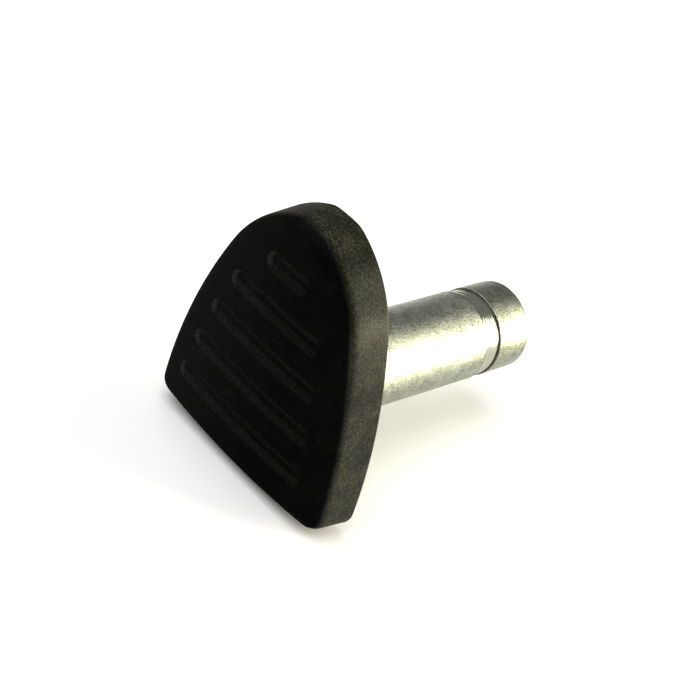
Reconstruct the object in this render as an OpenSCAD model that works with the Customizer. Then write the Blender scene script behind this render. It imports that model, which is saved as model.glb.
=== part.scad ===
/* [Thumb button] */
// Width of the button across its widest point
button_w = 26.6; // [24:0.1:30]
// Height of that widest point above the pin's axis
widest_y = -7.3; // [-7.5:0.1:-5]
// Distance from the pin's axis down to the lower edge
edge_drop = 9.5; // [9:0.1:11]
// Thickness in the middle of the domed thumb face
button_t = 5.8; // [5:0.1:8]
// Radius of the long side curves
side_r = 56.6; // [50:0.1:62]
// Radius of the curves that lead into the nose
cheek_r = 13.3; // [11:0.1:14]
// Direction in which the outline faces where side turns into cheek, in degrees
cheek_start = 21.2; // [18:0.1:24]
// Direction in which the outline faces where cheek turns into nose, in degrees
cheek_end = 66.9; // [60:0.1:68]
// Radius of the two soft corners of the nose
nose_corner_r = 3; // [2.5:0.1:4]
// Radius of the blunt nose between those corners
nose_r = 18; // [12:0.5:25]
// Radius of the two lower corners
corner_r = 2.3; // [2.3:0.1:4]
// Radius of the gently bowed lower edge
edge_r = 108; // [70:2:200]
// Rounding where the thumb face meets the rim
rim_round = 2; // [0.5:0.1:2]
// Rounding of the back edge
back_round = 0.2; // [0.1:0.05:0.5]
// Radius of the thumb face's dome
dome_r = 525; // [250:5:1000]
// Height of the dome's middle above the pin's axis
dome_y = 10; // [0:0.5:12]

/* [Finger slots] */
// Half lengths of the slots, from the nose down
slot_half = [3.2, 6.8, 8.3, 9.3, 10];
// Height of the top slot above the pin's axis
slot_top_y = 15; // [14:0.1:16]
// Distance from one slot to the next
slot_pitch = 4.7; // [4:0.1:4.7]
// Width of each slot's mouth
slot_w = 2.4; // [1.6:0.1:2.6]
// Width of each slot's floor
slot_floor_w = 0.3; // [0.2:0.1:1]
// Length over which the steeper ends of each slot run down to its floor
slot_end_l = 0.4; // [0.2:0.1:1]
// Depth of each slot below the domed face
slot_depth = 0.4; // [0.3:0.05:0.8]
// Radius to which the slots are bowed, like the lower edge
slot_bow = 150; // [100:10:300]

/* [Lock pin] */
// Diameter of the pin
pin_d = 10; // [8:0.5:11]
// Length of the pin behind the button
pin_l = 32; // [28:0.5:40]
// Distance from the button's back face to the ring groove
groove_start = 24.8; // [20:0.1:25]
// Width of the ring groove
groove_w = 2.3; // [1.1:0.1:2.5]
// Diameter at the floor of the ring groove
groove_d = 9.6; // [7:0.1:9.8]
// Chamfer on the free end
end_chamfer = 0.4; // [0.2:0.1:1]
// Depth to which the pin is moulded into the button
head_depth = 3.6; // [3:0.1:3.8]
// Thickness of the head inside the button
head_t = 1.4; // [1:0.1:1.6]
// Distance across the head's two flats
head_flats = 8; // [6:0.5:9]
// Diameter of the neck behind the head
neck_d = 7; // [5:0.5:7.5]
// Diameter of the collar that lies flush in the button's back face
collar_d = 10.6; // [10.4:0.1:12]
// Thickness of that collar
collar_t = 0.8; // [0.4:0.1:1]

/* [Hidden] */
$fn = 96;

// The rim leans inwards by this much for each millimetre of height, so that the moulding leaves its die.
draft = 0.075;
// A point of the plan between two slots, to which the rings of the face shrink.
middle = [0, 3.2];

// Steps along the outline and up the rounded rim.
arc_steps = 8;
side_steps = 20;
round_steps = 6;
dome_rings = 3;
// Steps round each end of a slot and along each of its sides.
end_steps = 8;
run_steps = 9;

function polar(a) = [cos(a), sin(a)];
function angle_of(v) = atan2(v[1], v[0]);

// Centres of the outline's curves, on the +X side. Neighbouring curves share a tangent, and an inset
// outline keeps the same centres with every radius smaller by the inset.
side_c = [button_w / 2 - side_r, widest_y];
cheek_c = side_c + (side_r - cheek_r) * polar(cheek_start);
nose_corner_c = cheek_c + (cheek_r - nose_corner_r) * polar(cheek_end);
nose_c = [0, nose_corner_c[1] - sqrt(pow(nose_r - nose_corner_r, 2) - pow(nose_corner_c[0], 2))];
edge_c = [0, edge_r - edge_drop];

// The lower corner's centre touches the side curve and the lower edge from inside.
to_edge = edge_c - side_c;
reach = norm(to_edge);
along = (pow(side_r - corner_r, 2) - pow(edge_r - corner_r, 2) + reach * reach) / (2 * reach);
across = sqrt(pow(side_r - corner_r, 2) - along * along);
corner_c = side_c + (along * to_edge + across * [to_edge[1], -to_edge[0]]) / reach;

// Each curve as [centre, radius, first angle, last angle, steps], from the lower edge up to the nose.
edge_a = angle_of(corner_c - edge_c);
side_a = angle_of(corner_c - side_c);
nose_a = angle_of(nose_corner_c - nose_c);
curves = [
    [edge_c, edge_r, -90, edge_a, arc_steps],
    [corner_c, corner_r, edge_a, side_a, arc_steps],
    [side_c, side_r, side_a, cheek_start, side_steps],
    [cheek_c, cheek_r, cheek_start, cheek_end, arc_steps],
    [nose_corner_c, nose_corner_r, cheek_end, nose_a, arc_steps / 2],
    [nose_c, nose_r, nose_a, 90, arc_steps / 4]
];

// Right half of the outline, inset by i, and then the whole of it, counter-clockwise from the lower edge. The
// point in the middle of the lower edge is left out, so that a short flat there lets the part lie still.
function half_outline(i) = [
    for (c = curves)
        for (k = [0 : c[4] - 1])
            c[0] + (c[1] - i) * polar(c[2] + (c[3] - c[2]) * k / c[4])
];
function outline(i) =
    let (right = half_outline(i), n = len(right))
    concat(
        [for (k = [1 : n - 1]) right[k]],
        [nose_c + [0, nose_r - i]],
        [for (k = [n - 1 : -1 : 1]) [-right[k][0], right[k][1]]]
    );

// Height of the domed face above the back face at a point of the plan.
function dome(p) = button_t - (pow(p[0], 2) + pow(p[1] - dome_y, 2)) / (2 * dome_r);
// Inset of the leaning rim at a height.
function lean(z) = draft * z;

// A ring of the rim at a share of its height, and a ring of the rounding at an angle.
function rim_ring(i, z) = [for (p = outline(i)) [p[0], p[1], z]];
function round_ring(a) = [
    for (p = outline(lean(button_t - rim_round) + rim_round * (1 - cos(a))))
        [p[0], p[1], dome(p) - rim_round * (1 - sin(a))]
];
// A ring of the face, shrunk towards the middle of the plan.
function face_ring(s) = [
    for (p = outline(lean(button_t - rim_round) + rim_round))
        let (q = middle + s * (p - middle))
        [q[0], q[1], dome(q)]
];

rings = concat(
    [rim_ring(back_round, 0)],
    [rim_ring(0, back_round)],
    [for (k = [0 : round_steps]) round_ring(90 * k / round_steps)],
    [for (k = [1 : dome_rings]) face_ring(1 - k / (dome_rings + 1))]
);

// A closed skin over a stack of rings, with a flat fan at the back and one over the dome's middle.
module skin(rings, top) {
    n = len(rings[0]);
    last = len(rings) - 1;
    points = concat([for (r = rings) each r], [top]);
    polyhedron(points, concat(
        [[for (k = [0 : n - 1]) k]],
        [for (j = [0 : last - 1]) for (k = [0 : n - 1]) [
            j * n + k,
            (j + 1) * n + k,
            (j + 1) * n + (k + 1) % n
        ]],
        [for (j = [0 : last - 1]) for (k = [0 : n - 1]) [
            j * n + k,
            (j + 1) * n + (k + 1) % n,
            j * n + (k + 1) % n
        ]],
        [for (k = [0 : n - 1]) [last * n + k, len(points) - 1, last * n + (k + 1) % n]]
    ));
}

// Everything is drawn with the thumb face up, then stood up: the face looks along -Y, the nose points
// up and the pin runs along +Y from the middle of the back face at the origin.
module stand_up() {
    rotate([90, 0, 0]) children();
}

// Width in plan of each of a slot's two sloping flanks.
slot_flank = (slot_w - slot_floor_w) / 2;

// Half of a slot's straight plan, the end and side on +X or on -X. A whole ring is bowed and follows the dome
// at a share of the slot's depth: 1 at the floor, 0 at the mouth and -1 as far above the face.
function slot_half_plan(straight, r, side) = concat(
    [for (k = [0 : end_steps - 1]) side * ([straight, 0] + r * polar(180 * k / end_steps - 90))],
    [for (k = [0 : run_steps - 1]) side * [straight * (1 - 2 * k / run_steps), r]]
);
function slot_ring(half_length, y, share) =
    let (straight = half_length - slot_w / 2 + share * (slot_flank - slot_end_l))
    [
        for (side = [1, -1], p = slot_half_plan(straight, slot_w / 2 - share * slot_flank, side))
            let (q = [p[0], y + p[1] + pow(p[0], 2) / (2 * slot_bow)])
            [q[0], q[1], dome(q) - share * slot_depth]
    ];

// One bowed finger slot with steeper round ends, whose flanks run on past the face.
module slot(half_length, y) {
    low = slot_ring(half_length, y, 1);
    high = slot_ring(half_length, y, -1);
    n = len(low);
    tip = end_steps / 2;
    polyhedron(concat(low, high), concat(
        [for (k = [0 : n - 1]) [k, n + k, n + (k + 1) % n]],
        [for (k = [0 : n - 1]) [k, n + (k + 1) % n, (k + 1) % n]],
        [for (m = [0 : n / 2 - 2]) [(tip + m) % n, (tip + m + 1) % n, (tip + n - m - 1) % n]],
        [for (m = [1 : n / 2 - 1]) [(tip + m) % n, (tip + n - m - 1) % n, (tip + n - m) % n]],
        [for (m = [0 : n / 2 - 2]) [n + (tip + m) % n, n + (tip + n - m - 1) % n, n + (tip + m + 1) % n]],
        [for (m = [1 : n / 2 - 1]) [n + (tip + m) % n, n + (tip + n - m) % n, n + (tip + n - m - 1) % n]]
    ));
}

// The part of the pin that the plastic is moulded round: a flush collar, a neck, and a head with two flats.
module pin_root() {
    cylinder(d = collar_d, h = collar_t);
    cylinder(d = neck_d, h = head_depth);
    translate([0, 0, head_depth - head_t]) intersection() {
        cylinder(d = pin_d, h = head_t);
        translate([-head_flats / 2, -pin_d, 0]) cube([head_flats, 2 * pin_d, head_t]);
    }
}

module thumb_button() {
    color([0.06, 0.06, 0.055]) stand_up() difference() {
        skin(rings, [middle[0], middle[1], dome(middle)]);
        for (k = [0 : len(slot_half) - 1]) slot(slot_half[k], slot_top_y - k * slot_pitch);
        pin_root();
    }
}

module lock_pin() {
    color([0.72, 0.71, 0.67]) stand_up() {
        pin_root();
        translate([0, 0, -pin_l]) rotate_extrude() polygon([
            [0, 0],
            [pin_d / 2 - end_chamfer, 0],
            [pin_d / 2, end_chamfer],
            [pin_d / 2, pin_l - groove_start - groove_w],
            [groove_d / 2, pin_l - groove_start - groove_w],
            [groove_d / 2, pin_l - groove_start],
            [pin_d / 2, pin_l - groove_start],
            [pin_d / 2, pin_l],
            [0, pin_l]
        ]);
    }
}

thumb_button();
lock_pin();
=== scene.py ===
"""Looks of a push button with a locking pin.

A moulded thumb button with finger slots sits on a turned steel pin.
"""

import math

import bpy
from mathutils import Matrix, Vector
from mathutils.geometry import delaunay_2d_cdt


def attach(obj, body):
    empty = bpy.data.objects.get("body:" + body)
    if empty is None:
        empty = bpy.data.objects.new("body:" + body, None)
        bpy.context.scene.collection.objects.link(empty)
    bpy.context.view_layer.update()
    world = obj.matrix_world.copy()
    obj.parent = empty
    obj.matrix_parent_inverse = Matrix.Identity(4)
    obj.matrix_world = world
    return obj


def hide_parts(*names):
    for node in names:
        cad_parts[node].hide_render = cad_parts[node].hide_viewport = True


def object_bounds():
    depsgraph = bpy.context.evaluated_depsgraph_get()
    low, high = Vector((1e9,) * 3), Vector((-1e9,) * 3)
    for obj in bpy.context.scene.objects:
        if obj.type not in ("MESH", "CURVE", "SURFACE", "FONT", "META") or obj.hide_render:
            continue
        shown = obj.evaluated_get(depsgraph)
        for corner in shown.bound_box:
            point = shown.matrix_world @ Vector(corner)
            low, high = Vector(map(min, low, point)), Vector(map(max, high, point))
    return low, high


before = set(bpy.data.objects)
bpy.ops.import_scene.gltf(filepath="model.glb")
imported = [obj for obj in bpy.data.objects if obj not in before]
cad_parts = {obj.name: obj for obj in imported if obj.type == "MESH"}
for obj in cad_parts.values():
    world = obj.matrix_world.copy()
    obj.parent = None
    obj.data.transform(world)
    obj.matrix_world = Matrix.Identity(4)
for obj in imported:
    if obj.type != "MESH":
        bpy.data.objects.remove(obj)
cad_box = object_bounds()

MM = 0.001

# Thumb button, in millimetres. Plan x and y with the height z above its back face; the row frame has
# (x, -z, y).
BUTTON_W = 26.6
WIDEST_Y = -7.3
EDGE_DROP = 9.489
BUTTON_T = 5.7965
SIDE_R = 56.6
CHEEK_R = 13.3
CHEEK_START = 21.2
CHEEK_END = 66.9
NOSE_CORNER_R = 3.0
NOSE_R = 18.0
CORNER_R = 2.3
EDGE_R = 108.0
RIM_ROUND = 2.0
BACK_ROUND = 0.2
DOME_R = 525.0
DOME_Y = 10.0
DRAFT = 0.075
OUTLINE_STEP = 0.3

# The loose points of the domed face lie on a triangular grid that starts at its lower left.
GRID_STEP = 0.8
GRID_ROW = 0.866 * GRID_STEP
GRID_START = (-14.2, -12.0)
GRID_ROWS = 49
GRID_COLUMNS = 36

# Finger slots.
SLOT_HALF = (3.2, 6.8, 8.3, 9.3, 10.0)
SLOT_TOP_Y = 15.0
SLOT_PITCH = 4.7
SLOT_W = 2.4
SLOT_FLOOR_W = 0.3
SLOT_END_L = 0.4
SLOT_DEPTH = 0.4
SLOT_BOW = 150.0
SLOTS = [(half, SLOT_TOP_Y - k * SLOT_PITCH) for k, half in enumerate(SLOT_HALF)]
SLOT_STEP = 0.45
SLOT_END_STEPS = 20
SLOT_LEVELS = 16

# Lock pin. Its heights run back from the button's back face; those inside the button are negative.
PIN_R = 5.0
PIN_L = 32.0
GROOVE_START = 24.8
GROOVE_W = 2.3
GROOVE_R = 4.8
END_ROUND = 0.4
BURR = 0.03
GROOVE_ROUND = 0.05
WALL_EDGE = 0.09
TOOL_MARK = 0.04
TOOL_MARKS = 3
HEAD_DEPTH = 3.6
HEAD_T = 1.4
HEAD_FLATS = 8.0
NECK_R = 3.5
COLLAR_R = 5.3
COLLAR_T = 0.8
PIN_SIDES = 160


def polar(angle):
    """Unit vector at an angle in degrees."""
    a = math.radians(angle)
    return Vector((math.cos(a), math.sin(a)))


def angle_of(v):
    """Angle of a vector in degrees."""
    return math.degrees(math.atan2(v.y, v.x))


def outline_curves():
    """The curves of the outline's +X half, from the lower edge up.

    Each is (centre, radius, first angle, last angle).
    """
    side = Vector((BUTTON_W / 2 - SIDE_R, WIDEST_Y))
    cheek = side + (SIDE_R - CHEEK_R) * polar(CHEEK_START)
    nose_corner = cheek + (CHEEK_R - NOSE_CORNER_R) * polar(CHEEK_END)
    nose = Vector((0, nose_corner.y - math.sqrt((NOSE_R - NOSE_CORNER_R) ** 2 - nose_corner.x**2)))
    edge = Vector((0, EDGE_R - EDGE_DROP))
    to_edge = edge - side
    reach = to_edge.length
    along = ((SIDE_R - CORNER_R) ** 2 - (EDGE_R - CORNER_R) ** 2 + reach**2) / (2 * reach)
    across = math.sqrt((SIDE_R - CORNER_R) ** 2 - along**2)
    corner = side + (along * to_edge + across * Vector((to_edge.y, -to_edge.x))) / reach
    edge_a = angle_of(corner - edge)
    side_a = angle_of(corner - side)
    nose_a = angle_of(nose_corner - nose)
    return [
        (edge, EDGE_R, -90, edge_a),
        (corner, CORNER_R, edge_a, side_a),
        (side, SIDE_R, side_a, CHEEK_START),
        (cheek, CHEEK_R, CHEEK_START, CHEEK_END),
        (nose_corner, NOSE_CORNER_R, CHEEK_END, nose_a),
        (nose, NOSE_R, nose_a, 90),
    ]


CURVES = outline_curves()


def outline(inset):
    """The outline pulled in by an inset, counter-clockwise from the middle of the lower edge."""
    right = []
    for centre, radius, first, last in CURVES:
        steps = max(8, round(math.radians(abs(last - first)) * radius / OUTLINE_STEP))
        angles = [first + (last - first) * k / steps for k in range(steps)]
        right += [centre + (radius - inset) * polar(a) for a in angles]
    centre, radius = CURVES[-1][:2]
    tip = centre + Vector((0, radius - inset))
    return right + [tip] + [Vector((-p.x, p.y)) for p in reversed(right[1:])]


def dome(p):
    """Height of the domed face at a point of the plan."""
    return BUTTON_T - (p.x**2 + (p.y - DOME_Y) ** 2) / (2 * DOME_R)


def stadium(half_length, y, share, out=0.0):
    """Points round a slot at a share of its flanks: 0 at the mouth and 1 at the floor.

    They can be moved out by a little. They run counter-clockwise, and every share gives as many points.
    """
    painted_flank_light = (SLOT_W - SLOT_FLOOR_W) / 2
    mouth = half_length - SLOT_W / 2
    straight = mouth + share * (painted_flank_light - SLOT_END_L)
    radius = SLOT_W / 2 - share * painted_flank_light + out
    runs = round(2 * mouth / SLOT_STEP)
    points = []
    for side in (1, -1):
        centre = Vector((side * straight, y))
        start = -90 if side > 0 else 90
        points += [
            centre + radius * polar(start + 180 * k / SLOT_END_STEPS) for k in range(SLOT_END_STEPS)
        ]
        points += [
            Vector((side * straight * (1 - 2 * k / runs), y + side * radius))
            for k in range(runs)
        ]
    for p in points:
        p.y += p.x**2 / (2 * SLOT_BOW)
    return points


class Skin:
    """Vertices and faces of one closed piece, collected ring by ring, in millimetres."""

    def __init__(self):
        self.points = []
        self.groove = []
        self.faces = []
        self.finish = []

    def ring(self, points, groove=0.0):
        """A new ring of points, which it gives back as their numbers. groove is 1 inside a slot."""
        first = len(self.points)
        self.points += points
        self.groove += [groove] * len(points)
        return list(range(first, len(self.points)))

    def face(self, corners, finish=0):
        """One face, with the place of its material in the piece's list."""
        self.faces.append(corners)
        self.finish.append(finish)

    def bridge(self, low, high, finish=0):
        """Four-sided faces between two rings of the same length."""
        n = len(low)
        for k in range(n):
            self.face((low[k], low[(k + 1) % n], high[(k + 1) % n], high[k]), finish)

    def fill(self, rings, points, inside, finish=0, flip=False):
        """Triangles between rings and loose points, which all lie in one plan, where inside says so."""
        ids = [i for r in rings for i in r] + points
        edges = []
        first = 0
        for r in rings:
            edges += [(first + k, first + (k + 1) % len(r)) for k in range(len(r))]
            first += len(r)
        flat = [Vector(self.points[i][:2]) for i in ids]
        made, _, triangles, origin, _, _ = delaunay_2d_cdt(flat, edges, [], 0, 1e-7)
        for t in triangles:
            middle = sum((made[k] for k in t), Vector((0, 0))) / 3
            if inside(middle):
                corners = [ids[origin[k][0]] for k in t]
                self.face(tuple(reversed(corners)) if flip else tuple(corners), finish)

    def build(self, name, place, materials):
        """The piece as a smooth-shaded mesh; place turns a point into the row frame."""
        mesh = bpy.data.meshes.new(name)
        mesh.from_pydata([tuple(MM * c for c in place(p)) for p in self.points], [], self.faces)
        for material in materials:
            mesh.materials.append(material)
        mesh.polygons.foreach_set("material_index", self.finish)
        mesh.polygons.foreach_set("use_smooth", [True] * len(self.faces))
        mesh.attributes.new("groove", "FLOAT", "POINT").data.foreach_set("value", self.groove)
        mesh.validate()
        mesh.update()
        piece = bpy.data.objects.new(name, mesh)
        bpy.context.scene.collection.objects.link(piece)
        return piece


def in_polygon(p, polygon):
    """True where a point lies inside a closed line of points."""
    hit = False
    for a, b in zip(polygon, polygon[1:] + polygon[:1]):
        if (a.y > p.y) != (b.y > p.y) and p.x < a.x + (p.y - a.y) * (b.x - a.x) / (b.y - a.y):
            hit = not hit
    return hit


def slot_distance(p, half_length, y):
    """How far a point of the plan lies outside a slot's mouth."""
    straight = half_length - SLOT_W / 2
    dx = max(abs(p.x) - straight, 0)
    return math.hypot(dx, p.y - y - p.x**2 / (2 * SLOT_BOW)) - SLOT_W / 2


def eased(share, soft=0.2):
    """A ramp from 0 to 1 that starts and ends softly."""
    if share > 0.5:
        return 1 - eased(1 - share, soft)
    return (share * share / (2 * soft) if share < soft else share - soft / 2) / (1 - soft)


def head_radius(angle):
    """Radius of the moulded-in head at an angle, cut by its two flats."""
    return min(PIN_R, HEAD_FLATS / 2 / max(abs(math.cos(angle)), 1e-6))


def root_rings():
    """The pin's root inside the button, from its head down to the back face.

    Each ring is (radius at each angle, height).
    """
    head = [head_radius(2 * math.pi * k / PIN_SIDES) for k in range(PIN_SIDES)]
    neck = [NECK_R] * PIN_SIDES
    collar = [COLLAR_R] * PIN_SIDES
    return [
        (head, HEAD_DEPTH),
        (head, HEAD_DEPTH - HEAD_T),
        (neck, HEAD_DEPTH - HEAD_T),
        (neck, COLLAR_T),
        (collar, COLLAR_T),
        (collar, 0.0),
    ]


def round_points(radii, z):
    """Points of a ring round the pin's axis at a height."""
    n = len(radii)
    return [
        (r * math.cos(2 * math.pi * k / n), r * math.sin(2 * math.pi * k / n), z)
        for k, r in enumerate(radii)
    ]


def build_button(materials):
    """The button: back face, leaning rim, domed face with finger slots, and a socket for the pin's root."""
    skin = Skin()
    lean = DRAFT * (BUTTON_T - RIM_ROUND)
    start = math.degrees(math.atan(DRAFT))
    start_sine = math.sin(math.radians(start))

    def rim(inset, height):
        return skin.ring([(p.x, p.y, height(p)) for p in outline(inset)])

    def wall_height(p, share):
        return BACK_ROUND + share * (dome(p) - RIM_ROUND * (1 - start_sine) - BACK_ROUND)

    # Flat border of the back face, back edge, leaning wall and rounded rim.
    rings = [rim(BACK_ROUND + 0.1, lambda p: 0.0)]
    for k in range(5):
        a = math.radians(22.5 * k)
        inset = BACK_ROUND * (1 - math.sin(a))
        rings.append(rim(inset, lambda p, a=a: BACK_ROUND * (1 - math.cos(a))))
    for share in (0.04, 0.25, 0.5, 0.75, 0.96):
        rings.append(rim(lean * share, lambda p, s=share: wall_height(p, s)))
    steps = 16
    for k in range(steps + 1):
        a = math.radians(start + (90 - start) * k / steps)
        inset = lean + RIM_ROUND * (1 - math.cos(a))
        rings.append(rim(inset, lambda p, a=a: dome(p) - RIM_ROUND * (1 - math.sin(a))))
    top = outline(lean + RIM_ROUND)
    shrunk = [0.988 * p for p in top]
    rings.append(skin.ring([(p.x, p.y, dome(p)) for p in shrunk]))
    for low, high in zip(rings, rings[1:]):
        skin.bridge(low, high)

    # Finger slots: their flanks, from the mouth down to the floor, and then the floor.
    mouths = []
    for half, y in SLOTS:
        mouths.append(skin.ring([(p.x, p.y, dome(p)) for p in stadium(half, y, 0, out=0.05)]))
        last = mouths[-1]
        for k in range(SLOT_LEVELS + 1):
            share = k / SLOT_LEVELS
            drop = SLOT_DEPTH * eased(share)
            new = skin.ring([(p.x, p.y, dome(p) - drop) for p in stadium(half, y, share)], groove=1.0)
            skin.bridge(last, new)
            last = new
        # Strips across the floor, from the middle of one end to the middle of the other.
        n = len(last)
        tip = SLOT_END_STEPS // 2
        for m in range(n // 2):
            corners = [last[(tip + k) % n] for k in (m, m + 1, -m - 1, -m)]
            skin.face(tuple(dict.fromkeys(corners)))

    # The domed face between the rim and the slots.
    border = [Vector(skin.points[i][:2]) for i in rings[-1]]
    safe = [0.95 * p for p in top]
    loose = []
    for row in range(GRID_ROWS):
        for column in range(GRID_COLUMNS):
            x = GRID_START[0] + (column + 0.5 * (row % 2)) * GRID_STEP
            p = Vector((x, GRID_START[1] + row * GRID_ROW))
            if in_polygon(p, safe) and all(slot_distance(p, half, y) > 0.5 for half, y in SLOTS):
                loose.append(p)
    points = skin.ring([(p.x, p.y, dome(p)) for p in loose])
    skin.fill(
        [rings[-1]] + mouths,
        points,
        lambda p: in_polygon(p, border) and all(slot_distance(p, half, y) > 0.04 for half, y in SLOTS),
    )

    # Back face and the socket that the pin's root fills.
    gap = 0.01
    socket = [skin.ring(round_points([COLLAR_R + 0.1] * PIN_SIDES, 0.0))]
    for radii, z in reversed(root_rings()):
        socket.append(skin.ring(round_points([r + gap for r in radii], z + gap if z == HEAD_DEPTH else z)))
    for low, high in zip(socket, socket[1:]):
        skin.bridge(high, low)
    skin.face(tuple(reversed(socket[-1])))
    back_border = [Vector(skin.points[i][:2]) for i in rings[0]]
    skin.fill(
        [rings[0], socket[0]],
        [],
        lambda p: in_polygon(p, back_border) and p.length > COLLAR_R + 0.15,
        flip=True,
    )
    return skin.build("thumb_button_moulding", lambda p: (p[0], -p[2], p[1]), materials)


def build_pin(materials):
    """The pin: its root, shank, ring groove, end land and rounded free end."""
    skin = Skin()
    shank, turned, end, groove_shade_and_dark_edge, end_edge_painted_reflection = range(5)
    profile = []

    def arc(radius_c, height_c, radius, first, last, steps, finish):
        for k in range(steps + 1):
            d = polar(first + (last - first) * k / steps)
            profile.append((radius_c + radius * d.x, height_c + radius * d.y, finish))

    groove_end = GROOVE_START + GROOVE_W
    profile.append((PIN_R + 0.05, 0.0, shank))
    profile.append((PIN_R, 0.0, shank))
    profile.append((PIN_R, 0.06, shank))
    for share in (0.25, 0.5, 0.75):
        profile.append((PIN_R, share * GROOVE_START, shank))
    # A small burr where the groove was turned in, darkened along its crest at the groove's near edge, the
    # groove with its tool marks, and its far wall and corner darkened as painted shade.
    profile.append((PIN_R, GROOVE_START - 0.3, shank))
    profile.append((PIN_R + BURR, GROOVE_START - 0.12, groove_shade_and_dark_edge))
    bend = GROOVE_ROUND
    arc(PIN_R + BURR - bend, GROOVE_START - bend, bend, 0, 90, 4, turned)
    arc(GROOVE_R + bend, GROOVE_START + bend, bend, 270, 180, 3, turned)
    steps = 30
    for k in range(1, steps):
        height = GROOVE_START + 0.1 + k / steps * (GROOVE_W - 0.2)
        wave = (1 - math.cos(2 * math.pi * TOOL_MARKS * k / steps)) / 2
        profile.append((GROOVE_R + TOOL_MARK * wave, height, turned))
    arc(GROOVE_R + bend, groove_end - bend, bend, 180, 90, 3, groove_shade_and_dark_edge)
    arc(PIN_R - WALL_EDGE, groove_end + WALL_EDGE, WALL_EDGE, -90, 0, 5, end)
    # The free end's rounded edge and the land's last 0.12 mm carry a darker painted reflection of dark
    # surroundings.
    profile.append((PIN_R, PIN_L - END_ROUND - 0.12, end_edge_painted_reflection))
    arc(PIN_R - END_ROUND, PIN_L - END_ROUND, END_ROUND, 0, 90, 10, end_edge_painted_reflection)
    profile.append((PIN_R - END_ROUND - 0.15, PIN_L, end))
    profile.append((2.0, PIN_L, end))
    profile.append((0.4, PIN_L, end))

    rings = []
    for radii, z in root_rings():
        rings.append((skin.ring(round_points(radii, -z)), shank))
    for radius, height, finish in profile:
        rings.append((skin.ring(round_points([radius] * PIN_SIDES, height)), finish))
    for (low, finish), (high, _) in zip(rings, rings[1:]):
        skin.bridge(low, high, finish)
    skin.face(tuple(reversed(rings[0][0])), shank)
    skin.face(tuple(rings[-1][0]), end)
    return skin.build("lock_pin_turned", lambda p: (p[0], p[2], -p[1]), materials)


def material(name):
    """A new material with its Principled shader."""
    made = bpy.data.materials.new(name)
    made.use_nodes = True
    return made, made.node_tree, made.node_tree.nodes["Principled BSDF"]


def node(tree, kind, **values):
    """A new node with some of its properties set."""
    made = tree.nodes.new(kind)
    for key, value in values.items():
        setattr(made, key, value)
    return made


def noise(tree, where, size, detail=2.0, rough=0.55, stretch=(1, 1, 1)):
    """Noise whose features are about size millimetres across.

    They are longer along an axis where stretch is above 1.
    """
    mapping = node(tree, "ShaderNodeMapping")
    mapping.inputs["Scale"].default_value = [1 / s for s in stretch]
    made = node(tree, "ShaderNodeTexNoise")
    made.inputs["Scale"].default_value = 1 / (size * MM)
    made.inputs["Detail"].default_value = detail
    made.inputs["Roughness"].default_value = rough
    tree.links.new(where, mapping.inputs["Vector"])
    tree.links.new(mapping.outputs["Vector"], made.inputs["Vector"])
    return made.outputs["Fac"]


def ramp(tree, value, stops):
    """Colours from a value, as (place, colour) stops."""
    made = node(tree, "ShaderNodeValToRGB")
    elements = made.color_ramp.elements
    while len(elements) < len(stops):
        elements.new(0.5)
    for element, (place, colour) in zip(elements, stops):
        element.position = place
        element.color = (*colour, 1)
    tree.links.new(value, made.inputs["Fac"])
    return made.outputs["Color"]


def blend_colours(tree, share, first, second):
    """A blend of two colours, each a plain colour or another node's output."""
    made = node(tree, "ShaderNodeMix", data_type="RGBA")
    tree.links.new(share, made.inputs["Factor"])
    for socket, colour in zip([i for i in made.inputs if i.type == "RGBA"], (first, second)):
        if isinstance(colour, tuple):
            socket.default_value = (*colour, 1)
        else:
            tree.links.new(colour, socket)
    return next(o for o in made.outputs if o.type == "RGBA")


def scaled(tree, value, low, high, from_low=0.3, from_high=0.7):
    """A value's stretch between two limits, mapped to low and high."""
    made = node(tree, "ShaderNodeMapRange")
    made.inputs["From Min"].default_value = from_low
    made.inputs["From Max"].default_value = from_high
    made.inputs["To Min"].default_value = low
    made.inputs["To Max"].default_value = high
    tree.links.new(value, made.inputs["Value"])
    return made.outputs["Result"]


def maths(tree, operation, a, b):
    """The outcome of one operation on two numbers or outputs."""
    made = node(tree, "ShaderNodeMath", operation=operation)
    for socket, value in zip(made.inputs, (a, b)):
        if isinstance(value, (int, float)):
            socket.default_value = value
        else:
            tree.links.new(value, socket)
    return made.outputs["Value"]


def weighted(tree, first, share, second):
    """Two outputs added up, the first with a share and the second with the rest."""
    rest = maths(tree, "MULTIPLY", second, round(1 - share, 2))
    return maths(tree, "ADD", maths(tree, "MULTIPLY", first, share), rest)


def bump(tree, height, shader, depth):
    """Relief of a depth in millimetres, under the shader and under its coat."""
    made = node(tree, "ShaderNodeBump")
    made.inputs["Strength"].default_value = 1.0
    made.inputs["Distance"].default_value = depth * MM
    tree.links.new(height, made.inputs["Height"])
    tree.links.new(made.outputs["Normal"], shader.inputs["Normal"])
    tree.links.new(made.outputs["Normal"], shader.inputs["Coat Normal"])


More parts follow.
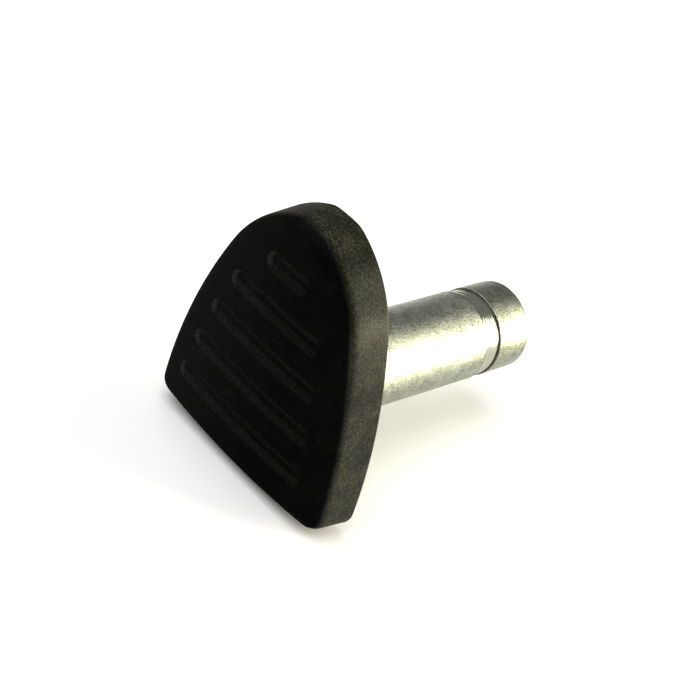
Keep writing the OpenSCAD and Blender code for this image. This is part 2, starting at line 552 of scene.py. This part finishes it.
def plastic():
    """Black moulded plastic: a dead matte thumb face, and greyer satin sides with a fine grain, whose paler
    colour is partly painted light for the rim lit from behind on the right.

    The slots' flanks and -X ends are painted a little paler as painted light, their +X ends are left dark
    as painted shade, and the face is painted paler towards -X as painted light.
    """
    made, tree, shader = material("button_plastic")
    coordinates = node(tree, "ShaderNodeTexCoord")
    where = coordinates.outputs["Object"]
    facing = node(tree, "ShaderNodeSeparateXYZ")
    tree.links.new(coordinates.outputs["Normal"], facing.inputs["Vector"])
    side = scaled(tree, facing.outputs["Y"], 0.0, 1.0, -0.55, -0.2)
    grain = noise(tree, where, 0.22, detail=3)
    cloud = noise(tree, where, 2.6, detail=4)
    mixed = weighted(tree, grain, 0.68, cloud)
    face_stops = [
        (0.3, (0.0003, 0.0004, 0.0004)),
        (0.5, (0.0011, 0.0014, 0.0012)),
        (0.7, (0.0045, 0.005, 0.0042)),
    ]
    # The sides' paler, warmer colour is partly painted light, for the rim lit from behind on the right, and
    # partly the greyer satin finish.
    side_tone_and_painted_light_stops = [
        (0.36, (0.004, 0.0043, 0.0028)),
        (0.5, (0.0135, 0.0136, 0.0088)),
        (0.64, (0.04, 0.039, 0.0255)),
    ]
    face_colour = ramp(tree, mixed, face_stops)
    side_tone_and_painted_light_colour = ramp(tree, mixed, side_tone_and_painted_light_stops)

    # Painted light and shade: the slots' slopes painted paler as if lit, with a painted highlight at their
    # -X ends and painted shade kept at their +X ends, and the face painted paler towards -X.
    groove = node(tree, "ShaderNodeAttribute", attribute_name="groove").outputs["Fac"]
    painted_flank_light = maths(tree, "MULTIPLY", groove, scaled(tree, facing.outputs["Y"], 0.0, 0.13, -0.99, -0.92))
    painted_light_off_right_ends = scaled(tree, facing.outputs["X"], 0.0, 1.0, -0.3, 0.0)
    painted_left_end_highlight = scaled(tree, facing.outputs["X"], 0.0, 2.4, 0.12, 0.45)
    painted_flank_light = maths(tree, "MULTIPLY", painted_flank_light, maths(tree, "ADD", painted_light_off_right_ends, painted_left_end_highlight))
    place = node(tree, "ShaderNodeSeparateXYZ")
    tree.links.new(where, place.inputs["Vector"])
    # Painted light: the face painted paler towards -X, as if lit more from that side.
    painted_light_towards_minus_x = scaled(tree, place.outputs["X"], 0.16, 0.0, -0.012, 0.003)
    painted_light_share = maths(tree, "ADD", painted_flank_light, painted_light_towards_minus_x)
    painted_light_share = maths(tree, "MULTIPLY", painted_light_share, scaled(tree, grain, 0.4, 1.4))
    # Mix in the pale colour that carries this painted light, broken up by the grain.
    face_colour = blend_colours(tree, painted_light_share, face_colour, (0.032, 0.0335, 0.03))
    colour = blend_colours(tree, side, face_colour, side_tone_and_painted_light_colour)
    tree.links.new(colour, shader.inputs["Base Color"])
    tree.links.new(scaled(tree, grain, 0.5, 0.7), shader.inputs["Roughness"])
    shader.inputs["Specular IOR Level"].default_value = 0.0
    scuffed = scaled(tree, place.outputs["Z"], 0.22, 0.09, 0.011, 0.018)
    gloss = maths(tree, "ADD", maths(tree, "MULTIPLY", side, scuffed), 0.02)
    tree.links.new(gloss, shader.inputs["Coat Weight"])
    shader.inputs["Coat Roughness"].default_value = 0.28
    bump(tree, grain, shader, 0.02)
    return made


def steel(name, colour_low, colour_high, rough_low, rough_high, grain_depth, lines=None):
    """Grained metal, with turning lines of a spacing in millimetres where lines gives one."""
    made, tree, shader = material(name)
    where = node(tree, "ShaderNodeTexCoord").outputs["Object"]
    grain = noise(tree, where, 0.2, detail=4, rough=0.65, stretch=(1, 1.5, 1))
    cloud = noise(tree, where, 1.6, detail=3)
    mixed = weighted(tree, grain, 0.65, cloud)
    colour = ramp(tree, mixed, [(0.35, colour_low), (0.65, colour_high)])
    tree.links.new(colour, shader.inputs["Base Color"])
    tree.links.new(scaled(tree, mixed, rough_low, rough_high), shader.inputs["Roughness"])
    shader.inputs["Metallic"].default_value = 1.0
    height = grain
    if lines:
        turning = noise(tree, where, lines, detail=2, stretch=(60, 1, 60))
        height = maths(tree, "ADD", maths(tree, "MULTIPLY", grain, 0.3), turning)
    bump(tree, height, shader, grain_depth)
    return made


def floor_material():
    """Matte near-white."""
    made, tree, shader = material("pale_floor")
    where = node(tree, "ShaderNodeTexCoord").outputs["Object"]
    tone = ramp(tree, noise(tree, where, 30), [(0.3, (0.86, 0.86, 0.86)), (0.7, (0.88, 0.88, 0.88))])
    tree.links.new(tone, shader.inputs["Base Color"])
    shader.inputs["Roughness"].default_value = 0.9
    shader.inputs["Specular IOR Level"].default_value = 0.0
    return made


def add_floor():
    """A pale floor at the object's lowest point."""
    low = cad_box[0][2]
    half = 3.0
    mesh = bpy.data.meshes.new("floor")
    corners = [(-half, -half, low), (half, -half, low), (half, half, low), (-half, half, low)]
    mesh.from_pydata(corners, [], [(0, 1, 2, 3)])
    mesh.materials.append(floor_material())
    made = bpy.data.objects.new("floor", mesh)
    bpy.context.scene.collection.objects.link(made)


def add_light(name, direction, distance, size, power, colour=(1, 1, 1)):
    """A soft light that looks at the object from a direction."""
    light = bpy.data.lights.new(name, "AREA")
    light.shape = "RECTANGLE"
    light.size, light.size_y = size
    light.energy = power
    light.color = colour
    made = bpy.data.objects.new(name, light)
    away = Vector(direction).normalized()
    made.location = away * distance
    made.rotation_euler = away.to_track_quat("Z", "Y").to_euler()
    bpy.context.scene.collection.objects.link(made)


def add_camera():
    """The camera, in front of the thumb face, to its +X side and above it, with some roll."""
    azimuth, elevation, roll = (math.radians(a) for a in (36.40, 33.14, 20.60))
    level = Vector((math.sin(azimuth), -math.cos(azimuth), 0))
    away = math.cos(elevation) * level + Vector((0, 0, math.sin(elevation)))
    aim = Vector((0.00193, 0.00509, 0.00453))
    distance = 0.182
    right = Vector((math.cos(azimuth), math.sin(azimuth), 0))
    up = away.cross(right)
    turned_right = math.cos(roll) * right + math.sin(roll) * up
    turned_up = math.cos(roll) * up - math.sin(roll) * right
    camera = bpy.data.cameras.new("camera")
    camera.sensor_width = 36.0
    camera.lens = 92.0
    camera.clip_start = 0.01
    camera.clip_end = 20.0
    made = bpy.data.objects.new("camera", camera)
    turn = Matrix((turned_right, turned_up, away)).transposed().to_4x4()
    made.matrix_world = Matrix.Translation(aim + distance * away) @ turn
    bpy.context.scene.collection.objects.link(made)
    bpy.context.scene.camera = made


def add_world():
    """An even white surrounding light."""
    world = bpy.data.worlds.new("studio")
    world.use_nodes = True
    background = world.node_tree.nodes["Background"]
    background.inputs["Color"].default_value = (1.0, 1.0, 1.0, 1)
    background.inputs["Strength"].default_value = 0.34
    bpy.context.scene.world = world


add_camera()
add_world()
add_floor()
add_light("overhead", (-0.25, -0.35, 1), 1.2, (1.4, 1.4), 18.5)
add_light("behind_right_low", (0.62, 0.78, 0.1), 0.5, (0.3, 0.12), 4.2, (1.0, 0.94, 0.66))
add_light("behind_right_high", (0.54, 0.67, 0.5), 0.6, (0.36, 0.28), 2.4, (1.0, 0.98, 0.85))
add_light("side", (0.97, -0.22, 0.05), 0.5, (0.1, 0.1), 0.6)
bpy.context.scene.view_settings.view_transform = "Standard"

button = build_button([plastic()])
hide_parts("thumb_button")
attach(button, "root")

pin = build_pin(
    [
        steel("pin_zinc", (0.13, 0.143, 0.115), (0.42, 0.432, 0.35), 0.22, 0.36, 0.08),
        steel("pin_turned", (0.26, 0.262, 0.21), (0.44, 0.44, 0.37), 0.14, 0.22, 0.012, lines=0.12),
        steel("pin_end", (0.12, 0.13, 0.1), (0.32, 0.33, 0.26), 0.22, 0.34, 0.07),
        # Painted shade on the groove's far corner and wall, and a dark line along its near edge.
        steel("pin_groove_painted_shade_and_dark_edge", (0.03, 0.03, 0.018), (0.09, 0.085, 0.055), 0.4, 0.6, 0.03),
        # Painted dark reflection on the rounded free edge.
        steel("pin_end_edge_painted_reflection", (0.1, 0.105, 0.085), (0.24, 0.245, 0.2), 0.3, 0.45, 0.03),
    ]
)
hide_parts("lock_pin")
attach(pin, "root")
